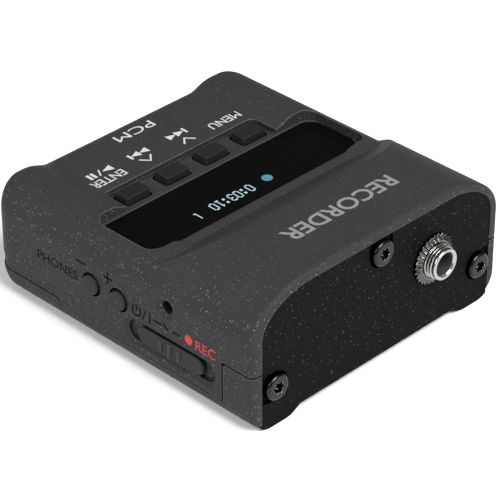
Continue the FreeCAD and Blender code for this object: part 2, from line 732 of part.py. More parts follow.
def usbPort():
    across, deep, high = usbShell
    face = -halfW + 0.4
    shell = box(face, face + deep, usbY - across / 2, usbY + across / 2, usbZ - high / 2, usbZ + high / 2)
    hollow = box(face - 1, face + deep - 0.4, usbY - across / 2 + sheet, usbY + across / 2 - sheet,
                 usbZ - high / 2 + sheet, usbZ + high / 2 - sheet)
    tongue = box(face + 0.6, face + deep - 0.2, usbY - 2.0, usbY + 2.0, usbZ - 0.1, usbZ + 0.4)
    return shell.cut(hollow).fuse(tongue).removeSplitter()


def cardSocket():
    across, deep, high = cardBody
    face = -halfW + sideWall + 0.3
    shell = box(face, face + deep, cardY - across / 2, cardY + across / 2,
                cardZ - high / 2, cardZ + high / 2)
    slot = box(face - 1, face + deep - 0.8, cardY - cardSlot[0] / 2, cardY + cardSlot[0] / 2,
               cardZ - 0.45, cardZ + 0.45)
    return shell.cut(slot)


# ---- boards and what they carry ----------------------------------------------------
def boardPosts():
    backX, frontX = boardHalf - 5.1, boardHalf - 5.6
    backY, frontY = boardBack + 2.7, panelBack - 4.5
    return [(-backX, backY), (backX, backY), (-frontX, frontY), (frontX, frontY)]


def mainBoard():
    board = plate(-boardHalf, boardHalf, boardBack, panelBack - ledgeDepth - 0.4, boardZ, boardTop, 1.0)
    corner = [box(min(x, 2 * x), max(x, 2 * x), panelBack - 9, frontEnd, boardZ - 1, boardTop + 1)
              for x in (cornerScrewX - bossRadius - 0.4, -cornerScrewX + bossRadius + 0.4)]
    holes = [rod(boardScrewRadius + 0.2, (x, y, boardZ - 1), Z, 4) for x, y in boardPosts()]
    return board.cut(corner + holes)


def boardScrew(x, y):
    head = rod(1.5, (x, y, boardTop), Z, 0.7)
    cross = [box(x - 0.8, x + 0.8, y - 0.15, y + 0.15, boardTop + 0.3, boardTop + 1),
             box(x - 0.15, x + 0.15, y - 0.8, y + 0.8, boardTop + 0.3, boardTop + 1)]
    return head.fuse(rod(boardScrewRadius, (x, y, boardTop), -Z, 4.0)).cut(cross)


def keyBoard():
    half = keyShelfHalf - 0.4
    return plate(keysShift - half, keysShift + half, keyY - 2.4, windowFront - 0.2, keyBoardZ, keyBoardTop, 1.0)


def keySwitch(x):
    top = ceilingZ - keyTravel - 0.3 - 0.05
    base = box(x - 1.9, x + 1.9, keyY - 1.5, keyY + 1.5, keyBoardTop, top - 0.5 - keyTravel)
    return join(base, rod(0.7, (x, keyY, top - 0.6 - keyTravel), Z, 0.5))


def volumeSwitch(y):
    back = halfW - sideWall - 1.1 - buttonTravel - 0.1
    base = box(back - 2.4, back - 0.4, y - 2.0, y + 2.0, boardTop, boardTop + 2.6)
    return join(base, rod(0.7, (back - 0.5, y, buttonZ), X, 0.5))


def slideSwitchBody():
    x1 = halfW - sideWall - 2.1
    body = box(x1 - 3.4, x1, sliderY - 4.4, sliderY + 4.4, sliderZ - 1.5, boardZ - 0.02)
    lane = box(x1 - 1.8, x1 + 1, sliderY - sliderTravel - 0.9, sliderY + sliderTravel + 0.9,
               sliderZ - 0.75, sliderZ + 0.75)
    return body.cut(lane)


def displayModule():
    """Small OLED pane under the glass, on its carrier."""
    top = glassZ - glassThickness - windowGap - 0.5
    return box(-15.0, 15.0, windowBack + 1.8, windowFront - 1.6, top - 1.2, top)


def displayGasket():
    top = glassZ - glassThickness - windowGap - 0.02
    outer = box(-17.2, 17.2, windowBack + 1.6, windowFront - 1.4, top - 0.46, top)
    return outer.cut(box(-14.6, 14.6, windowBack + 2.6, windowFront - 2.4, top - 2, top + 1))


def displayRibbon():
    """Flat ribbon that folds from the display down to the key board."""
    top = glassZ - glassThickness - windowGap - 1.75
    y = windowFront - 3.4
    down = box(-4, 4, y - 0.15, y, keyBoardTop + 0.02, top)
    foot = box(-4, 4, y - 3, y, keyBoardTop + 0.02, keyBoardTop + 0.17)
    return join(down, foot)


def displayWindow():
    return plate(-windowHalf + windowGap, windowHalf - windowGap, windowBack + rimChamfer + windowGap,
                 windowFront - windowGap, glassZ - glassThickness, glassZ, windowCorner - windowGap)


# ---- battery -----------------------------------------------------------------------
def batteryCell():
    half = cellLength / 2
    can = rod(cellRadius, (-half, cellY, cellZ), X, cellLength - 1.0)
    can = can.makeFillet(0.6, [e for e in can.Edges if e.Length > 5 and e.Closed])
    return join(can, rod(1.9, (half - 1.1, cellY, cellZ), X, 1.1))


def contactPlate():
    x = cellLength / 2 + 0.02
    leaf = box(x, x + sheet, cellY - 3.5, cellY + 3.5, doorTop + 2.2, cellZ + 4.8)
    return join(leaf, box(x, x + sheet, cellY + 3.4, doorEnd + 0.2, cellZ + 0.8, cellZ + 3.8))


def contactSpring():
    """Conical coil that presses on the flat end of the cell."""
    first = -cellLength / 2 - springEnds[0]
    last = -cellLength / 2 - springRoom + springEnds[1]
    turns = [Part.makeTorus(r, springWire, V(first + (last - first) * i / (len(springRings) - 1), cellY, cellZ), X)
             for i, r in enumerate(springRings)]
    tie = box(last, first, cellY - 0.2, cellY + 0.2, cellZ + springRings[0] - 0.1, cellZ + springRings[-1] + 0.1)
    return join(turns[0], *turns[1:], tie)


def chip(x0, x1, y0, y1, high):
    return box(x0, x1, y0, y1, boardTop, boardTop + high)


# ---- build -------------------------------------------------------------------------
def main():
    os.makedirs("parts", exist_ok=True)
    outer = outerCase()
    save("upper_case", upperCase(outer))
    save("lower_case", lowerCase(outer))
    save("battery_door", batteryDoor(outer))
    save("end_panel", endPanel(outer))
    save("end_panel_screws", *[endScrew(x, z) for x, z in screwPlaces()])
    save("display_window", displayWindow())
    for name, x in zip(keyNames, keyXs):
        save(name, key(x))
    for name, y in zip(("volume_down_button", "volume_up_button"), buttonY):
        save(name, volumeButton(y))
    save("record_slider", recordSlider())
    save("slide_switch_lever", switchLever())
    save("slide_switch_body", slideSwitchBody())
    save("indicator_light_pipe", indicatorLens())
    save("mic_jack_barrel", micBarrel())
    save("mic_jack_nut", micNut())
    save("mic_jack_body", micBody())
    save("phones_jack", phonesJack())
    save("usb_port", usbPort())
    save("card_socket", cardSocket())
    save("main_board", mainBoard())
    save("board_screws", *[boardScrew(x, y) for x, y in boardPosts()])
    save("key_board", keyBoard())
    save("key_switches", *[keySwitch(x) for x in keyXs])
    save("volume_switches", *[volumeSwitch(y) for y in buttonY])
    save("display_module", displayModule())
    save("display_gasket", displayGasket())
    save("display_ribbon", displayRibbon())
    save("battery_cell", batteryCell())
    save("battery_contact", contactPlate())
    save("battery_spring", contactSpring())
    save("processor_chip", chip(-6, 3, 4, 13, 1.0))
    save("memory_chip", chip(6, 13, 14, 19.5, 0.9))
    save("indicator_lamp", chip(halfW - 4.7, halfW - 3.1, indicatorY - 0.8, indicatorY + 0.8, 0.8))


main()
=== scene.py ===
import bmesh
import bpy
import math
from mathutils import Matrix, Vector
from mathutils.bvhtree import BVHTree


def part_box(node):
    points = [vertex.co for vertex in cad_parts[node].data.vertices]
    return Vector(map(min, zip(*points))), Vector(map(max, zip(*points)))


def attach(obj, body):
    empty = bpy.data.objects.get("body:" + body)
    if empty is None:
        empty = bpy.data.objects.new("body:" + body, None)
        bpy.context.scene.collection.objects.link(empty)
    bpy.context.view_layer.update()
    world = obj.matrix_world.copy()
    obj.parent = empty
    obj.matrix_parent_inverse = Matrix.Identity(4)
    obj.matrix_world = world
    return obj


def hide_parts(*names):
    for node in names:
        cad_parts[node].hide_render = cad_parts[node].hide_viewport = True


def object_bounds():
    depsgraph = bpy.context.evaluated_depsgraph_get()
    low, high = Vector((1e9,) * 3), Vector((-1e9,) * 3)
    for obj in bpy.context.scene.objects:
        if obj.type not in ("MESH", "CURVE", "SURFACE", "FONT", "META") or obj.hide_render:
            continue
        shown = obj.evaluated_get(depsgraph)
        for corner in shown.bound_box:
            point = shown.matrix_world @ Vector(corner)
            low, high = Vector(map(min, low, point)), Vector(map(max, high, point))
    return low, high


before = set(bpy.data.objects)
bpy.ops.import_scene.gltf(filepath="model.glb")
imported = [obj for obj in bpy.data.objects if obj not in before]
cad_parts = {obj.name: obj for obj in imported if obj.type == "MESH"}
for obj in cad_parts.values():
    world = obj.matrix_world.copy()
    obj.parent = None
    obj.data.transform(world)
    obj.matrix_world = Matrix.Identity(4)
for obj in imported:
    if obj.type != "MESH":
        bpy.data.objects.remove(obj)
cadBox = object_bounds()    # the design's own box, before any looks are added
mm = 0.001
print("frame loaded,", len(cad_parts), "nodes")


# shader maths: a Wire is one output socket, and arithmetic on it adds Math nodes
class Wire:
    def __init__(self, finish, socket):
        self.finish = finish
        self.socket = socket

    def other(self, output):
        return Wire(self.finish, self.socket.node.outputs[output])

    def maths(self, operation, first, second=0.0):
        return self.finish.add("ShaderNodeMath", {"operation": operation}, {0: first, 1: second})

    def __add__(self, value):
        return self.maths("ADD", self, value)

    __radd__ = __add__

    def __sub__(self, value):
        return self.maths("SUBTRACT", self, value)

    def __rsub__(self, value):
        return self.maths("SUBTRACT", value, self)

    def __mul__(self, value):
        return self.maths("MULTIPLY", self, value)

    __rmul__ = __mul__

    def __gt__(self, value):
        return self.maths("GREATER_THAN", self, value)

    def ramp(self, low, high):
        # 0 below low, 1 above high, straight between
        return self.finish.add("ShaderNodeMapRange", {}, {"Value": self, "From Min": low, "From Max": high})


class Finish:
    def __init__(self, name, **values):
        self.material = bpy.data.materials.new(name)
        self.material.use_nodes = True
        self.tree = self.material.node_tree
        self.shader = self.tree.nodes["Principled BSDF"]
        self.set(**values)

    def feed(self, socket, value):
        if isinstance(value, Wire):
            self.tree.links.new(value.socket, socket)
        else:
            socket.default_value = value

    def set(self, **values):
        # names are the shader's own sockets, written without spaces
        for key, value in values.items():
            spaced = "".join(" " + c if c.isupper() else c for c in key).strip()
            self.feed(self.shader.inputs[spaced.replace("Ior", "IOR")], value)

    def add(self, kind, settings=None, inputs=None, output=0):
        node = self.tree.nodes.new(kind)
        for key, value in (settings or {}).items():
            setattr(node, key, value)
        for key, value in (inputs or {}).items():
            self.feed(node.inputs[key], value)
        return Wire(self, node.outputs[output])

    def place(self):
        return self.add("ShaderNodeTexCoord", output="Object")

    def noise(self, size, detail=2.0):
        inputs = {"Vector": self.place(), "Scale": 1 / size, "Detail": detail}
        return self.add("ShaderNodeTexNoise", {}, inputs)

    def mix(self, factor, first, second):
        return self.add("ShaderNodeMix", {"data_type": "RGBA"}, {0: factor, 6: first, 7: second}, 2)

    def flecks(self, cell, radius, share):
        # light grains: in a share of a foam's cells, a soft dot of its own strength;
        # the foam is turned so that its cells don't line up along the flat faces
        turned = self.add("ShaderNodeMapping", {}, {"Vector": self.place(), "Rotation": (0.4, 0.7, 0.3)})
        dots = self.add("ShaderNodeTexVoronoi", {}, {"Vector": turned, "Scale": 1 / cell}, "Distance")
        own = self.add("ShaderNodeSeparateColor", {}, {0: dots.other("Color")}, 0)
        edge = radius / cell
        return (1 - dots.ramp(edge / 2, edge)) * (own > 1 - share) * own.other(1)

    def rounded(self, radius, samples=6):
        # normal as if every edge were eased to this radius
        return self.add("ShaderNodeBevel", {"samples": samples}, {"Radius": radius})

    def wear(self, eased, start=0.02, end=0.35):
        # 1 along the edges, where the eased normal leaves the true one; it paints highlights along edges
        true = self.add("ShaderNodeNewGeometry", output="Normal")
        along = self.add("ShaderNodeVectorMath", {"operation": "DOT_PRODUCT"}, {0: eased, 1: true}, "Value")
        return (1 - along).ramp(start, end)

    def crevice(self, reach=0.9 * mm, shut=0.25, clear=0.85):
        # 1 deep in seams and corners, where painted shade goes (on the screws, painted glints)
        openness = self.add("ShaderNodeAmbientOcclusion", {"samples": 8}, {"Distance": reach}, "AO")
        return 1 - openness.ramp(shut, clear)

    def steep(self):
        # 0 where the skin faces up, 1 where it leans or stands
        normal = self.add("ShaderNodeNewGeometry", output="Normal")
        upward = self.add("ShaderNodeSeparateXYZ", {}, {0: normal}, 2)
        return (1 - upward).ramp(0.0, 0.5)

    def bump(self, height, depth, strength=1.0, normal=None):
        inputs = {"Height": height, "Distance": depth, "Strength": strength}
        if normal:
            inputs["Normal"] = normal
        return self.add("ShaderNodeBump", {}, inputs)


def grey(value, warm=0.0):
    return (value * (1 + warm), value, value * (1 - warm), 1)


mouldings = {       # shared by every speckled skin
    "grain": 0.16 * mm, "grainDepth": 0.012 * mm, "grainStrength": 0.6,
    "grainDark": 0.72, "grainLight": 1.28,
    "cloud": 9 * mm, "cloudAmount": 0.35, "cloudLight": 1.5,
    # the two amounts after easing paint a highlight along the edges
    "easing": 0.2 * mm, "highlightAmount": 0.9, "highlightTone": 8,
    "fineCell": 0.4 * mm, "fineRadius": 0.11 * mm, "fineAmount": 0.8,
    "coarseCell": 0.9 * mm, "coarseRadius": 0.14 * mm, "coarseShare": 0.8, "coarseAmount": 0.6,
    # the third value on this line is the black of the painted shade in seams and corners
    "fleckFlat": 0.25, "fleckSteep": 0.6, "seam": 0.001,
    "roughness": 0.52, "grainRough": 0.16, "fleckShine": 0.2, "edgeGloss": 0.1,
}
casePlastic = {"tone": 0.0222, "fleckTone": 0.3, "share": 0.5, "warm": 0.0, "gloss": 0.1}
panelPlastic = {"tone": 0.0034, "fleckTone": 0.14, "share": 0.3, "warm": 0.05, "gloss": 0.03}


def speckledPlastic(name, tone, fleckTone, share, warm, gloss):
    # moulded skin with light grains, which show most where it is steep
    m = mouldings
    made = Finish(name, SpecularIorLevel=gloss)
    eased = made.rounded(m["easing"])
    edgeHighlight = made.wear(eased)
    grain = made.noise(m["grain"], 3.0)
    cloud = made.noise(m["cloud"], 2.0)
    body = made.mix(grain, grey(tone * m["grainDark"], warm), grey(tone * m["grainLight"], warm))
    body = made.mix(cloud * m["cloudAmount"], body, grey(tone * m["cloudLight"], warm))
    # painted highlight along the edges
    body = made.mix(edgeHighlight * m["highlightAmount"], body, grey(tone * m["highlightTone"], warm))
    fine = made.flecks(m["fineCell"], m["fineRadius"], share)
    coarse = made.flecks(m["coarseCell"], m["coarseRadius"], share * m["coarseShare"])
    shown = m["fleckFlat"] + made.steep() * m["fleckSteep"]
    flecks = (fine * m["fineAmount"] + coarse * m["coarseAmount"]) * shown
    flecked = made.mix(flecks, body, grey(fleckTone, warm))
    rough = m["roughness"] + grain * m["grainRough"] - flecks * m["fleckShine"] - edgeHighlight * m["edgeGloss"]
    # painted shade in seams and corners, from ambient occlusion
    made.set(BaseColor=made.mix(made.crevice(), flecked, grey(m["seam"])), Roughness=rough,
             Normal=made.bump(grain, m["grainDepth"], m["grainStrength"], eased))
    return made.material


# the edge amount and range below paint a highlight along the edges; the near-black tone paints shade in
# seams and corners
satin = {"easing": 0.22 * mm, "grain": 0.1 * mm, "grainDepth": 0.006 * mm, "grainStrength": 0.5,
         "grainDark": 0.8, "grainLight": 1.25, "highlightAmount": 0.9, "seam": 0.001, "gloss": 0.1,
         "grainRough": 0.14, "edgeGloss": 0.1, "highlightFrom": 0.01, "highlightTo": 0.2}
# the last value on each of these lines is the tone of the painted edge highlight
keyPlastic = {"tone": 0.01, "roughness": 0.36, "highlightTone": 16}
buttonPlastic = {"tone": 0.021, "roughness": 0.5, "highlightTone": 7}


def satinPlastic(name, tone, roughness, highlightTone):
    # the keys' and buttons' smoother skin, with a painted highlight along its edges and painted shade in
    # its seams
    made = Finish(name, SpecularIorLevel=satin["gloss"])
    eased = made.rounded(satin["easing"])
    edgeHighlight = made.wear(eased, satin["highlightFrom"], satin["highlightTo"])
    grain = made.noise(satin["grain"], 3.0)
    body = made.mix(grain, grey(tone * satin["grainDark"]), grey(tone * satin["grainLight"]))
    # painted highlight along the edges
    body = made.mix(edgeHighlight * satin["highlightAmount"], body, grey(tone * highlightTone))
    # painted shade in seams and corners, from ambient occlusion
    made.set(BaseColor=made.mix(made.crevice(), body, grey(satin["seam"])),
             Roughness=roughness + grain * satin["grainRough"] - edgeHighlight * satin["edgeGloss"],
             Normal=made.bump(grain, satin["grainDepth"], satin["grainStrength"], eased))
    return made.material


glass = {"tone": 0.0024, "gloss": 0.008, "roughness": 0.04, "smear": 6 * mm, "smearRough": 0.05,
         "dustCell": 1.9 * mm, "dustRadius": 0.05 * mm, "dustShare": 0.25, "dustTone": 0.25,
         "dustAmount": 0.25, "dustRough": 0.3}


def smokedAcrylic():
    # near-black polished window with faint smears and a little dust
    made = Finish("smokedAcrylic", SpecularIorLevel=glass["gloss"])
    smears = made.noise(glass["smear"], 4.0)
    dust = made.flecks(glass["dustCell"], glass["dustRadius"], glass["dustShare"])
    made.set(Roughness=glass["roughness"] + smears * glass["smearRough"] + dust * glass["dustRough"],
             BaseColor=made.mix(dust * glass["dustAmount"], grey(glass["tone"]), grey(glass["dustTone"])))
    return made.material


# the edge range on the next line sets the painted highlight on the crests
nickel = {"easing": 0.07 * mm, "highlightFrom": 0.01, "highlightTo": 0.2,
          "brushing": 0.08 * mm, "brushDepth": 0.004 * mm, "brushStrength": 0.4,
          "tarnish": 1.1 * mm, "tarnishDark": 0.8, "warm": 0.03, "tarnishWarm": 0.06,
          # the reach and tone that start this line paint shade in the grooves
          "shadeReach": 0.5 * mm, "seam": 0.015, "roughness": 0.14, "brushRough": 0.1, "tarnishRough": 0.06}


def nickelPlate(name, tone, crestHighlight):
    # brushed plate, tarnished in patches, with painted shade in its grooves and a painted highlight on its
    # crests
    made = Finish(name, Metallic=1.0)
    eased = made.rounded(nickel["easing"])
    edgeHighlight = made.wear(eased, nickel["highlightFrom"], nickel["highlightTo"])
    brushing = made.noise(nickel["brushing"], 4.0)
    tarnish = made.noise(nickel["tarnish"], 3.0)
    tarnished = grey(tone * nickel["tarnishDark"], nickel["tarnishWarm"])
    body = made.mix(tarnish, grey(tone, nickel["warm"]), tarnished)
    # painted highlight on the crests
    body = made.mix(edgeHighlight, body, grey(crestHighlight, nickel["warm"]))
    rough = nickel["roughness"] + brushing * nickel["brushRough"] + tarnish * nickel["tarnishRough"]
    # painted shade in the grooves, from ambient occlusion
    grooveShade = made.crevice(nickel["shadeReach"])
    made.set(BaseColor=made.mix(grooveShade, body, grey(nickel["seam"])), Roughness=rough,
             Normal=made.bump(brushing, nickel["brushDepth"], nickel["brushStrength"], eased))
    return made.material


screwPlate = {"easing": 0.06 * mm, "highlightFrom": 0.05, "highlightTo": 0.3,
              "stain": 0.25 * mm, "stainDepth": 0.006 * mm, "stainStrength": 0.5,
              # rim is a painted highlight along the rim; the socket values paint glints in the socket
              "dark": 0.01, "light": 0.045, "rim": 0.8, "socketReach": 0.5 * mm, "socketGlintAmount": 0.6,
              "socket": 0.3, "roughness": 0.14, "stainRough": 0.1}


def blackSteel():
    # black-plated screws: a painted highlight along the rim, painted glints deep in the socket
    plate = screwPlate
    made = Finish("blackSteel", Metallic=1.0)
    eased = made.rounded(plate["easing"])
    edgeHighlight = made.wear(eased, plate["highlightFrom"], plate["highlightTo"])
    stain = made.noise(plate["stain"], 4.0)
    # painted highlight along the rim
    body = made.mix(edgeHighlight, made.mix(stain, grey(plate["dark"]), grey(plate["light"])), grey(plate["rim"]))
    # painted glints in the socket, from ambient occlusion
    socket = made.crevice(plate["socketReach"]) * plate["socketGlintAmount"]
    made.set(BaseColor=made.mix(socket, body, grey(plate["socket"])),
             Roughness=plate["roughness"] + stain * plate["stainRough"],
             Normal=made.bump(stain, plate["stainDepth"], plate["stainStrength"], eased))
    return made.material


brushed = {"size": 0.15 * mm, "dark": 0.85, "rough": 0.15}


def plainMetal(name, tone, roughness):
    made = Finish(name, Metallic=1.0)
    brushing = made.noise(brushed["size"], 4.0)
    made.set(BaseColor=made.mix(brushing, grey(tone * brushed["dark"]), grey(tone)),
             Roughness=roughness + brushing * brushed["rough"])
    return made.material


boards = {"mask": (0.008, 0.09, 0.03, 1), "copper": (0.03, 0.22, 0.08, 1), "cell": 1.6 * mm,
          "trackFrom": 0.03, "trackTo": 0.07, "trackHeight": 0.02 * mm, "trackStrength": 0.5,
          "roughness": 0.3, "trackRough": 0.1}


def solderMask():
    # green boards with tracks that wander between the cells of a foam
    made = Finish("solderMask")
    gap = made.add("ShaderNodeTexVoronoi", {"feature": "DISTANCE_TO_EDGE"},
                   {"Vector": made.place(), "Scale": 1 / boards["cell"]})
    copper = 1 - gap.ramp(boards["trackFrom"], boards["trackTo"])
    made.set(BaseColor=made.mix(copper, boards["mask"], boards["copper"]),
             Roughness=boards["roughness"] + copper * boards["trackRough"],
             Normal=made.bump(copper, boards["trackHeight"], boards["trackStrength"]))
    return made.material


mottled = {"rough": 0.1, "depth": 0.01 * mm, "strength": 0.3}


def tinted(name, colour, roughness, size=0.4 * mm, spread=0.25, gloss=0.3):
    # plain moulded, printed or coated stuff with a little mottle
    made = Finish(name, SpecularIorLevel=gloss)
    mottle = made.noise(size, 3.0)
    dark = tuple(c * (1 - spread) for c in colour) + (1,)
    light = tuple(min(1, c * (1 + spread)) for c in colour) + (1,)
    made.set(BaseColor=made.mix(mottle, dark, light), Roughness=roughness + mottle * mottled["rough"],
             Normal=made.bump(mottle, mottled["depth"], mottled["strength"]))
    return made.material


glow = {"unlit": 0.02, "roughness": 0.3, "strength": 1.0, "size": 0.3 * mm, "dim": 0.8}


def glowing(name, colour):
    # lit dots, a little dimmer in patches
    made = Finish(name, BaseColor=grey(glow["unlit"]), Roughness=glow["roughness"],
                  EmissionStrength=glow["strength"])
    patches = made.noise(glow["size"], 2.0)
    dim = tuple(c * glow["dim"] for c in colour) + (1,)
    made.set(EmissionColor=made.mix(patches, dim, colour + (1,)))
    return made.material


finishes = {
    "casePlastic": speckledPlastic("casePlastic", **casePlastic),
    "panelPlastic": speckledPlastic("panelPlastic", **panelPlastic),
    "keyPlastic": satinPlastic("keyPlastic", **keyPlastic),
    "buttonPlastic": satinPlastic("buttonPlastic", **buttonPlastic),
    "smokedAcrylic": smokedAcrylic(),
    "smokedLens": tinted("smokedLens", (0.006, 0.0015, 0.0015), 0.2, gloss=0.1),
    # the barrel's edge tone paints a highlight on its crests
    "nickelPlate": nickelPlate("nickelPlate", 0.42, 0.75),
    # the nut's nickel is given a much darker tone than the barrel's, as a painted dark reflection, with a
    # painted highlight on its crests
    "shadedNickelNut": nickelPlate("shadedNickelNut", 0.1, 0.7),
    "blackSteel": blackSteel(),
    "zincSteel": plainMetal("zincSteel", 0.62, 0.3),
    "springSteel": plainMetal("springSteel", 0.7, 0.2),
    "stampedSteel": plainMetal("stampedSteel", 0.6, 0.28),
    "blackMoulding": tinted("blackMoulding", (0.018, 0.018, 0.018), 0.5),
    "solderMask": solderMask(),
    "chipResin": tinted("chipResin", (0.022, 0.022, 0.025), 0.45, 0.2 * mm),
    "displayPane": tinted("displayPane", (0.012, 0.012, 0.018), 0.08, 3 * mm),
    "foam": tinted("foam", (0.02, 0.02, 0.02), 0.9, 0.15 * mm, 0.5),
    "amberFilm": tinted("amberFilm", (0.42, 0.17, 0.03), 0.25, 1.5 * mm),
    "cellSleeve": tinted("cellSleeve", (0.42, 0.43, 0.45), 0.25, 4 * mm, 0.12),
    "lampResin": tinted("lampResin", (0.75, 0.72, 0.66), 0.2),
    "silverPrint": tinted("silverPrint", (0.42, 0.425, 0.43), 0.5, 0.12 * mm, 0.16),
    "greyPrint": tinted("greyPrint", (0.17, 0.17, 0.17), 0.5, 0.12 * mm, 0.12),
    "blackPrint": tinted("blackPrint", (0.0015, 0.0015, 0.0015), 0.6, 0.12 * mm, 0.3, 0.05),
    "redPrint": tinted("redPrint", (0.42, 0.02, 0.018), 0.5, 0.12 * mm, 0.15),
    "whiteGlow": glowing("whiteGlow", (0.5, 0.76, 0.82)),
    "cyanGlow": glowing("cyanGlow", (0.05, 0.27, 0.4)),
}
print("finishes made,", len(finishes))

nodeFinish = {
    "casePlastic": ["upper_case", "lower_case", "battery_door"],
    "panelPlastic": ["end_panel"],
    "keyPlastic": ["menu_key", "rewind_key", "forward_key", "enter_key"],
    "buttonPlastic": ["volume_down_button", "volume_up_button", "record_slider"],
    "smokedAcrylic": ["display_window"],
    "smokedLens": ["indicator_light_pipe"],
    "nickelPlate": ["mic_jack_barrel"],
    "shadedNickelNut": ["mic_jack_nut"],
    "blackSteel": ["end_panel_screws"],
    "zincSteel": ["board_screws"],
    "springSteel": ["battery_contact", "battery_spring"],
    "stampedSteel": ["slide_switch_body", "usb_port", "card_socket"],
    "blackMoulding": ["slide_switch_lever", "mic_jack_body", "phones_jack", "key_switches",
                      "volume_switches"],
    "solderMask": ["main_board", "key_board"],
    "chipResin": ["processor_chip", "memory_chip"],
    "displayPane": ["display_module"],
    "foam": ["display_gasket"],
    "amberFilm": ["display_ribbon"],
    "cellSleeve": ["battery_cell"],
    "lampResin": ["indicator_lamp"],
}
for finish, nodes in nodeFinish.items():
    for node in nodes:
        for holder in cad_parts[node].material_slots:
            holder.material = finishes[finish]


# places come from the frame, in metres
def middle(node):
    low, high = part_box(node)
    return (low + high) / 2


def lowest(node):
    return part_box(node)[0]


def highest(node):
    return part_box(node)[1]


caseHigh = highest("upper_case")
sideX = caseHigh.x              # face of the control side
glassZ = highest("display_window").z
keyOverFloor = 0.3 * mm         # key tops over the floor that carries the labels
labelZ = highest("menu_key").z - keyOverFloor


def meshPiece(name, mesh, finish, body):
    piece = bpy.data.objects.new(name, mesh)
    bpy.context.scene.collection.objects.link(piece)
    mesh.materials.append(finishes[finish])
    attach(piece, body)
    return piece


def smooth(mesh, angle):
    # shaded round, with edges sharper than the angle kept crisp
    mesh.shade_smooth()
    mesh.set_sharp_from_angle(angle=math.radians(angle))


# printed labels are thin ink that stands a hair off the plastic
ink = {"under": 0.01 * mm, "proud": 0.02 * mm, "drapeFrom": 2 * mm, "curveSteps": 4}
topFrame = Matrix.Identity(4)                                       # reads along +X, up is +Y
sideFrame = Matrix(((0, 0, 1), (1, 0, 0), (0, 1, 0))).to_4x4()      # reads along +Y, up is +Z


def inkMesh(name, outlines):
    # closed flat outlines in metres, each extruded through the ink's thickness
    ready = bmesh.new()
    for outline in outlines:
        base = [ready.verts.new((x, y, -ink["under"])) for x, y in outline]
        face = ready.faces.new(base)
        grown = bmesh.ops.extrude_face_region(ready, geom=[face])
        lifted = [v for v in grown["geom"] if isinstance(v, bmesh.types.BMVert)]
        bmesh.ops.translate(ready, verts=lifted, vec=(0, 0, ink["under"] + ink["proud"]))
    bmesh.ops.recalc_face_normals(ready, faces=ready.faces)
    mesh = bpy.data.meshes.new(name)
    ready.to_mesh(mesh)
    ready.free()
    return mesh


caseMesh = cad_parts["upper_case"].data
caseTree = BVHTree.FromPolygons([v.co for v in caseMesh.vertices], [p.vertices for p in caseMesh.polygons])


def printed(name, mesh, finish, spot, turn, slot="case_plastic"):
    mesh.transform(Matrix.Translation(spot) @ turn)
    if turn is topFrame and slot == "case_plastic":     # the ink follows the moulding's curve
        for vertex in mesh.vertices:
            above = Vector((vertex.co.x, vertex.co.y, spot.z + ink["drapeFrom"]))
            found = caseTree.ray_cast(above, Vector((0, 0, -1)))[0]
            if found:
                vertex.co.z += found.z - spot.z
    return meshPiece(name, mesh, finish, "case")


def wordMesh(name, word, width, height, weight=0.0):
    # generic lettering, centred and stretched to the width and height
    curve = bpy.data.curves.new(name, "FONT")
    curve.body = word
    curve.size = height
    curve.offset = weight
    curve.resolution_u = ink["curveSteps"]
    curve.extrude = (ink["under"] + ink["proud"]) / 2
    holder = bpy.data.objects.new(name + "Curve", curve)
    bpy.context.scene.collection.objects.link(holder)
    bpy.context.view_layer.update()
    mesh = bpy.data.meshes.new_from_object(holder.evaluated_get(bpy.context.evaluated_depsgraph_get()))
    bpy.data.objects.remove(holder)
    xs = [v.co.x for v in mesh.vertices]
    ys = [v.co.y for v in mesh.vertices]
    mesh.transform(Matrix.Translation((-(min(xs) + max(xs)) / 2, -(min(ys) + max(ys)) / 2, 0)))
    wide, tall = width / (max(xs) - min(xs)), height / (max(ys) - min(ys))
    mesh.transform(Matrix.Diagonal((wide, tall, 1, 1)))
    mesh.transform(Matrix.Translation((0, 0, (ink["proud"] - ink["under"]) / 2)))
    mesh.name = name
    return mesh


def bar(x0, y0, x1, y1, thick):
    # a straight stroke with square ends
    along = Vector((x1 - x0, y1 - y0)).normalized()
    across = Vector((-along.y, along.x)) * thick / 2
    a, b = Vector((x0, y0)), Vector((x1, y1))
    return [tuple(a - across), tuple(b - across), tuple(b + across), tuple(a + across)]


def onCircle(x, y, radius, angle):
    return (x + radius * math.cos(angle), y + radius * math.sin(angle))


def disc(x, y, radius, count=28):
    return [onCircle(x, y, radius, 2 * math.pi * k / count) for k in range(count)]


def arcStroke(x, y, radius, thick, start, end, count=20):
    # quads round part of a ring, angles in degrees
    inner, outer = radius - thick / 2, radius + thick / 2
    quads = []
    for k in range(count):
        a = math.radians(start + (end - start) * k / count)
        b = math.radians(start + (end - start) * (k + 1) / count)
        quads.append([onCircle(x, y, inner, a), onCircle(x, y, outer, a),
                      onCircle(x, y, outer, b), onCircle(x, y, inner, b)])
    return quads


def inMetres(outlines):
    return [[(x * mm, y * mm) for x, y in outline] for outline in outlines]


keyLabels = {
    "row": -5.08 * mm, "secondRow": -7.33 * mm, "shift": 0.08 * mm,
    "letterHeight": 1.75 * mm, "menuWidth": 6.2 * mm, "enterWidth": 6.4 * mm, "weight": 0.008 * mm,
    "wordBelow": -12.6 * mm, "wordWidth": 7.6 * mm, "wordHeight": 1.95 * mm,
}
marks = {       # in mm
    "skipHalf": 0.72, "skipLong": 1.65, "skipStarts": (-1.9, -0.25), "skipBar": 1.62, "skipBarThick": 0.42,
    "playHalf": 0.75, "playFrom": -2.65, "playTo": -0.75, "slash": (-0.62, 0.22), "slashThick": 0.26,
    "pauses": (0.98, 1.78), "pauseThick": 0.5,
}


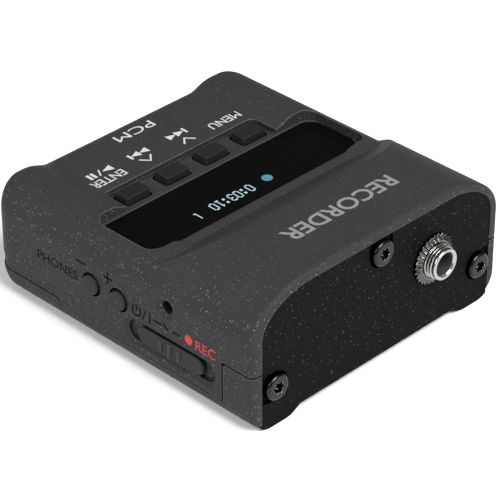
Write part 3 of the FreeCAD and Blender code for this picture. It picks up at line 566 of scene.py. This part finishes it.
def chevron(side):
    # an arrowhead of two slanting strokes; side 1 points up
    left = [(-1.3, -0.65), (-1.05, -0.85), (0, 0.4), (0, 0.77)]
    return [[(x, side * y) for x, y in left], [(-x, side * y) for x, y in reversed(left)]]


def skipMark(side):
    # two triangles and a bar; side 1 points to +X
    half = marks["skipHalf"]
    triangles = [[(side * x, -half), (side * (x + marks["skipLong"]), 0), (side * x, half)]
                 for x in marks["skipStarts"]]
    stop = side * marks["skipBar"]
    return triangles + [bar(stop, -half, stop, half, marks["skipBarThick"])]


def playPauseMark():
    half = marks["playHalf"]
    play = [(marks["playFrom"], -half), (marks["playTo"], 0), (marks["playFrom"], half)]
    low, high = marks["slash"]
    slash = bar(low, -half, high, half, marks["slashThick"])
    return [play, slash] + [bar(x, -half, x, half, marks["pauseThick"]) for x in marks["pauses"]]


def addKeyLabels():
    k = keyLabels

    def spot(node, row):
        centre = middle(node)
        return Vector((centre.x + k["shift"], centre.y + row, labelZ))

    printed("menuLabel", wordMesh("menuLabel", "MENU", k["menuWidth"], k["letterHeight"], k["weight"]),
            "silverPrint", spot("menu_key", k["row"]), topFrame)
    printed("enterLabel", wordMesh("enterLabel", "ENTER", k["enterWidth"], k["letterHeight"], k["weight"]),
            "silverPrint", spot("enter_key", k["row"]), topFrame)
    for name, node, row, outlines in (
            ("downMark", "rewind_key", "row", chevron(-1)), ("upMark", "forward_key", "row", chevron(1)),
            ("skipBackMark", "rewind_key", "secondRow", skipMark(-1)),
            ("skipAheadMark", "forward_key", "secondRow", skipMark(1)),
            ("playPauseMark", "enter_key", "secondRow", playPauseMark())):
        printed(name, inkMesh(name, inMetres(outlines)), "silverPrint", spot(node, k[row]), topFrame)
    centre = (middle("rewind_key") + middle("forward_key")) / 2
    printed("formatLabel", wordMesh("formatLabel", "PCM", k["wordWidth"], k["wordHeight"]),
            "silverPrint", Vector((centre.x, centre.y + k["wordBelow"], labelZ)), topFrame)


endLabel = {"width": 22.4 * mm, "height": 3.0 * mm, "weight": 0.05 * mm, "beforePanel": 8.4 * mm,
            "shift": -0.6 * mm}


def addEndLabel():
    # a plain generic word on the raised end
    k = endLabel
    spot = Vector((k["shift"], highest("end_panel").y - k["beforePanel"], caseHigh.z))
    word = wordMesh("topLabel", "RECORDER", k["width"], k["height"], k["weight"])
    printed("topLabel", word, "greyPrint", spot, topFrame)


sideLabels = {      # strokes and marks in mm, places in metres from the button or slider that they name
    "stroke": 0.3, "slashThick": 0.24, "minusHalf": 1.0, "plusHalf": 0.95,
    "phonesWidth": 8.8 * mm, "phonesHeight": 1.55 * mm, "phonesBefore": -7.35 * mm,
    "minusAt": (-2.1 * mm, 2.9 * mm), "plusAt": (-2.2 * mm, 2.8 * mm),
    "powerAt": (-6.8 * mm, 3.8 * mm), "dotAt": (3.9 * mm, 3.95 * mm), "dotRadius": 0.75,
    "recordAt": (7.3 * mm, 3.8 * mm), "recordWidth": 4.0 * mm, "recordHeight": 1.62 * mm,
}


def powerStrokes():
    # the power ring, a slash, the on bar, and the line that leads to REC with its hooked middle
    stroke = sideLabels["stroke"]
    ring = arcStroke(0, 0, 0.85, stroke, 125, 415) + [bar(0, 0.1, 0, 1.15, stroke)]
    bars = [bar(1.25, -0.95, 1.95, 0.85, sideLabels["slashThick"]), bar(2.75, -0.95, 2.75, 0.9, stroke),
            bar(3.5, 0.05, 5.2, 0.05, stroke), bar(7.45, -0.05, 8.95, -0.05, stroke)]
    return ring + bars + arcStroke(6.75, 0.75, 1.05, stroke, 190, 262, 8)


def addSideLabels():
    k = sideLabels
    low, high = middle("volume_down_button"), middle("volume_up_button")
    slide = middle("record_slider")

    def addSide(name, mesh, finish, centre, away):
        spot = Vector((sideX, centre.y + away[0], centre.z + away[1]))
        printed(name, mesh, finish, spot, sideFrame)

    def marked(name, outlines):
        return inkMesh(name, inMetres(outlines))

    minus = [bar(-k["minusHalf"], 0, k["minusHalf"], 0, k["stroke"])]
    plus = [bar(-k["plusHalf"], 0, k["plusHalf"], 0, k["stroke"]),
            bar(0, -k["plusHalf"], 0, k["plusHalf"], k["stroke"])]
    addSide("phonesLabel", wordMesh("phonesLabel", "PHONES", k["phonesWidth"], k["phonesHeight"]),
            "blackPrint", low, (k["phonesBefore"], 0))
    addSide("minusMark", marked("minusMark", minus), "blackPrint", low, k["minusAt"])
    addSide("plusMark", marked("plusMark", plus), "blackPrint", high, k["plusAt"])
    addSide("powerMark", marked("powerMark", powerStrokes()), "blackPrint", slide, k["powerAt"])
    addSide("recordDot", marked("recordDot", [disc(0, 0, k["dotRadius"])]), "redPrint", slide, k["dotAt"])
    addSide("recordLabel", wordMesh("recordLabel", "REC", k["recordWidth"], k["recordHeight"]),
            "redPrint", slide, k["recordAt"])


addKeyLabels()
addEndLabel()
addSideLabels()
print("labels printed")

# the display's characters, a # for each lit dot
dotFont = {
    "0": (".###.", "#...#", "#...#", "#...#", "#...#", "#...#", "#...#", ".###."),
    "1": ("..#..", ".##..", "..#..", "..#..", "..#..", "..#..", "..#..", ".###."),
    "3": (".###.", "#...#", "....#", "..##.", "....#", "....#", "#...#", ".###."),
    ":": (".....", "..##.", "..##.", ".....", ".....", "..##.", "..##.", "....."),
    "|": ("..#..", "..#..", "..#..", "..#..", "..#..", "..#..", "..##.", "....."),
}
readout = {         # in mm from the readout's own middle, which stands off the window's
    "text": "0:03:10", "dotWide": 0.1974, "dotTall": 0.235, "pitchX": 0.207, "pitchY": 0.25, "left": -2.3,
    "low": -1.2, "markX": 8.5, "spotX": -5.65, "spotY": -0.4, "spotRadius": 0.88,
    "fromWindow": (0.25, 2.45),
}


def dotsFor(symbol, left, low):
    rows = dotFont[symbol]
    squares = []
    for r, row in enumerate(rows):
        for c, mark in enumerate(row):
            if mark == "#":
                x = left + c * readout["pitchX"]
                y = low + (len(rows) - 1 - r) * readout["pitchY"]
                right, top = x + readout["dotWide"], y + readout["dotTall"]
                squares.append([(x, y), (right, y), (right, top), (x, top)])
    return squares


def addReadout():
    squares = []
    advance = (len(dotFont["0"][0]) + 1) * readout["pitchX"]
    for i, symbol in enumerate(readout["text"]):
        squares += dotsFor(symbol, readout["left"] + i * advance, readout["low"])
    squares += dotsFor("|", readout["markX"], readout["low"])
    window = middle("display_window")
    away = readout["fromWindow"]
    spot = Vector((window.x + away[0] * mm, window.y + away[1] * mm, glassZ))
    state = [disc(readout["spotX"], readout["spotY"], readout["spotRadius"])]
    for name, outlines, finish in (("timeReadout", squares, "whiteGlow"), ("stateDot", state, "cyanGlow")):
        printed(name, inkMesh(name, inMetres(outlines)), finish, spot, topFrame, "window_acrylic")


addReadout()
print("display lit")


def turned(name, profile, segments, shape=None):
    # a closed ring: (along, radius) points carried round +Y; shape may change a point by its angle
    ready = bmesh.new()
    rings = []
    for s in range(segments):
        angle = 2 * math.pi * s / segments
        ring = []
        for along, radius in profile:
            if shape:
                along, radius = shape(along, radius, angle)
            ring.append(ready.verts.new((radius * math.cos(angle), along, radius * math.sin(angle))))
        rings.append(ring)
    for s in range(segments):
        here, there = rings[s], rings[(s + 1) % segments]
        for k in range(len(profile)):
            n = (k + 1) % len(profile)
            ready.faces.new((here[k], here[n], there[n], there[k]))
    bmesh.ops.recalc_face_normals(ready, faces=ready.faces)
    mesh = bpy.data.meshes.new(name)
    ready.to_mesh(mesh)
    ready.free()
    return mesh


barrel = {          # in mm; undercut and rimStart run forward from the thread's end, other lengths back
                    # from the mouth
    "bore": 1.8, "crest": 2.62, "root": 2.28, "pitch": 0.5, "flank": 2.4, "threadSteps": 44,
    "collar": 0.6,
    "rimOut": 2.5, "rimEdge": 2.43, "rimFace": 2.33, "mouthFace": 2.08, "mouthEdge": 2.0,
    "back": 8.6, "body": 2.72, "flange": 3.8, "flangeBack": 5.7, "flangeFront": 4.75,
    "undercut": 0.05, "rimStart": 0.16, "rimChamfer": 0.12, "rimRound": 0.03, "mouthRound": 0.05,
    "mouthDeep": 0.3, "boreRing": 4, "darkWithin": 1.82, "segments": 120, "crisp": 40,
}


def addBarrel():
    b = barrel
    front = highest("mic_jack_barrel").y / mm
    centre = middle("mic_jack_barrel")
    nutTop = highest("mic_jack_nut").y / mm
    threadEnd = front - b["collar"]
    steps = b["threadSteps"]
    profile = [(front - b["back"], b["bore"]), (front - b["back"], b["body"]),
               (front - b["flangeBack"], b["body"]), (front - b["flangeBack"], b["flange"]),
               (front - b["flangeFront"], b["flange"]), (front - b["flangeFront"], b["body"]),
               (nutTop, b["body"])]
    threadAlongs = [nutTop + (threadEnd - nutTop) * k / steps for k in range(steps + 1)]
    profile += [(along, b["crest"]) for along in threadAlongs]
    profile += [(threadEnd + b["undercut"], b["root"]), (threadEnd + b["rimStart"], b["rimOut"]),
                (front - b["rimChamfer"], b["rimOut"]), (front - b["rimRound"], b["rimEdge"]),
                (front, b["rimFace"]), (front, b["mouthFace"]), (front - b["mouthRound"], b["mouthEdge"]),
                (front - b["mouthDeep"], b["bore"]), (front - b["boreRing"], b["bore"])]

    def helix(along, radius, angle):
        if radius == b["crest"]:        # only the thread's own points lie at this radius
            turn = ((along - nutTop) / b["pitch"] - angle / (2 * math.pi)) % 1
            rise = min(1, b["flank"] * abs(turn - 0.5))
            radius = b["root"] + (b["crest"] - b["root"]) * rise
        return along, radius

    mesh = turned("threadedBarrel", profile, b["segments"], helix)
    smooth(mesh, b["crisp"])
    for face in mesh.polygons:          # past its mouth the bore takes the dark moulding, as painted shade for the deep hole
        if math.hypot(face.center.x, face.center.z) < b["darkWithin"]:
            face.material_index = 1
    mesh.transform(Matrix.Translation((centre.x, 0, centre.z)) @ Matrix.Scale(mm, 4))
    piece = meshPiece("threadedBarrel", mesh, "nickelPlate", "case")
    mesh.materials.append(finishes["blackMoulding"])
    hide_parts("mic_jack_barrel")


ringNut = {"bore": 2.8, "land": 3.1, "shoulder": 3.45, "rim": 4.12, "valley": 3.72, "thick": 0.9,
           "edge": 0.42, "drop": 0.12, "notch": 0.3, "boreChamfer": 0.08, "teeth": 28, "perTooth": 8,
           "crisp": 24}


def addRingNut():
    n = ringNut
    seat = lowest("mic_jack_nut").y / mm
    centre = middle("mic_jack_nut")
    top = seat + n["thick"]
    profile = [(seat, n["bore"]), (seat, n["rim"]), (seat + n["edge"], n["rim"]),
               (top - n["drop"], n["shoulder"]), (top, n["land"]), (top, n["bore"] + n["boreChamfer"]),
               (top - n["boreChamfer"], n["bore"])]

    def serrated(along, radius, angle):
        wave = (angle * n["teeth"] / (2 * math.pi)) % 1
        cut = 1 - abs(2 * wave - 1)     # 0 at a crest, 1 in the middle of a valley
        if radius == n["rim"]:
            radius -= (n["rim"] - n["valley"]) * cut
        elif radius == n["shoulder"]:
            along -= n["notch"] * cut
        return along, radius

    mesh = turned("ringNut", profile, n["teeth"] * n["perTooth"], serrated)
    mesh.transform(Matrix.Translation((centre.x, 0, centre.z)) @ Matrix.Scale(mm, 4))
    smooth(mesh, n["crisp"])
    piece = meshPiece("ringNut", mesh, "shadedNickelNut", "case")
    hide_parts("mic_jack_nut")


pip = {"sunk": 0.05, "foot": 0.34, "side": (0.03, 0.32), "shoulder": (0.07, 0.22), "top": (0.08, 0.02),
       "segments": 32, "crisp": 32}     # in mm; a pair is (height, radius)


def addButtonPip():
    # the small raised dot that a finger finds on the louder button
    face = highest("volume_up_button").x / mm
    centre = middle("volume_up_button")
    dome = [(face - pip["sunk"], pip["top"][1]), (face - pip["sunk"], pip["foot"])]
    dome += [(face + up, radius) for up, radius in (pip["side"], pip["shoulder"], pip["top"])]
    mesh = turned("buttonPip", dome, pip["segments"])
    mesh.transform(Matrix.Translation((0, centre.y, centre.z)) @ Matrix.Rotation(-math.pi / 2, 4, "Z")
                   @ Matrix.Scale(mm, 4))
    smooth(mesh, pip["crisp"])
    meshPiece("buttonPip", mesh, "buttonPlastic", "volume_up")


addBarrel()
addRingNut()
addButtonPip()
print("jack turned")

stage = {"floor": 3.0, "floorGap": 0.02 * mm, "floorTone": 0.9, "mottle": 0.2, "mottleDark": 0.985,
         "world": 0.28}


def addStage():
    ready = bmesh.new()
    bmesh.ops.create_grid(ready, x_segments=2, y_segments=2, size=stage["floor"])
    mesh = bpy.data.meshes.new("floor")
    ready.to_mesh(mesh)
    ready.free()
    paper = Finish("floorPaper", Roughness=0.9)
    mottle = paper.noise(stage["mottle"], 2.0)
    tone = stage["floorTone"]
    paper.set(BaseColor=paper.mix(mottle, grey(tone), grey(tone * stage["mottleDark"])))
    mesh.materials.append(paper.material)
    floor = bpy.data.objects.new("floor", mesh)
    floor.location = (0, 0, cadBox[0].z - stage["floorGap"])
    bpy.context.scene.collection.objects.link(floor)
    world = bpy.data.worlds.new("softWhite")
    world.use_nodes = True
    background = world.node_tree.nodes["Background"]
    background.inputs["Color"].default_value = (1, 1, 1, 1)
    background.inputs["Strength"].default_value = stage["world"]
    bpy.context.scene.world = world


lights = {
    "overhead": {"size": (0.5, 0.5), "from": (0.0, 0.52, 0.62), "power": 11.5},
    "side": {"size": (0.5, 0.4), "from": (0.62, -0.1, 0.42), "power": 3.7},
}


def addLight(name, size, source, power):
    data = bpy.data.lights.new(name, "AREA")
    data.shape = "RECTANGLE"
    data.size, data.size_y = size
    data.energy = power
    light = bpy.data.objects.new(name, data)
    light.location = source
    light.rotation_mode = "QUATERNION"
    light.rotation_quaternion = (-Vector(source)).to_track_quat("-Z", "Y")
    bpy.context.scene.collection.objects.link(light)


view = {"azimuth": 44.849, "elevation": 33.212, "roll": -0.146, "distance": 382.11 * mm, "lens": 183.8,
        "sensor": 36, "clip": (0.01, 20), "aim": (0.73 * mm, 1.14 * mm, 8.32 * mm)}


def addCamera():
    a, e, roll = (math.radians(view[key]) for key in ("azimuth", "elevation", "roll"))
    back = Vector((math.cos(a) * math.cos(e), math.sin(a) * math.cos(e), math.sin(e)))
    right = Vector((0, 0, 1)).cross(back).normalized()
    up = back.cross(right)
    turnedRight = right * math.cos(roll) + up * math.sin(roll)
    turnedUp = up * math.cos(roll) - right * math.sin(roll)
    data = bpy.data.cameras.new("camera")
    data.lens = view["lens"]
    data.sensor_width = view["sensor"]
    data.clip_start, data.clip_end = view["clip"]
    camera = bpy.data.objects.new("camera", data)
    turn = Matrix((turnedRight, turnedUp, back)).transposed().to_4x4()
    camera.matrix_world = Matrix.Translation(Vector(view["aim"]) + back * view["distance"]) @ turn
    bpy.context.scene.collection.objects.link(camera)
    bpy.context.scene.camera = camera


addStage()
for name, light in lights.items():
    addLight(name, light["size"], light["from"], light["power"])
addCamera()
bpy.context.scene.view_settings.view_transform = "Standard"
print("stage set")

bpy.context.view_layer.update()
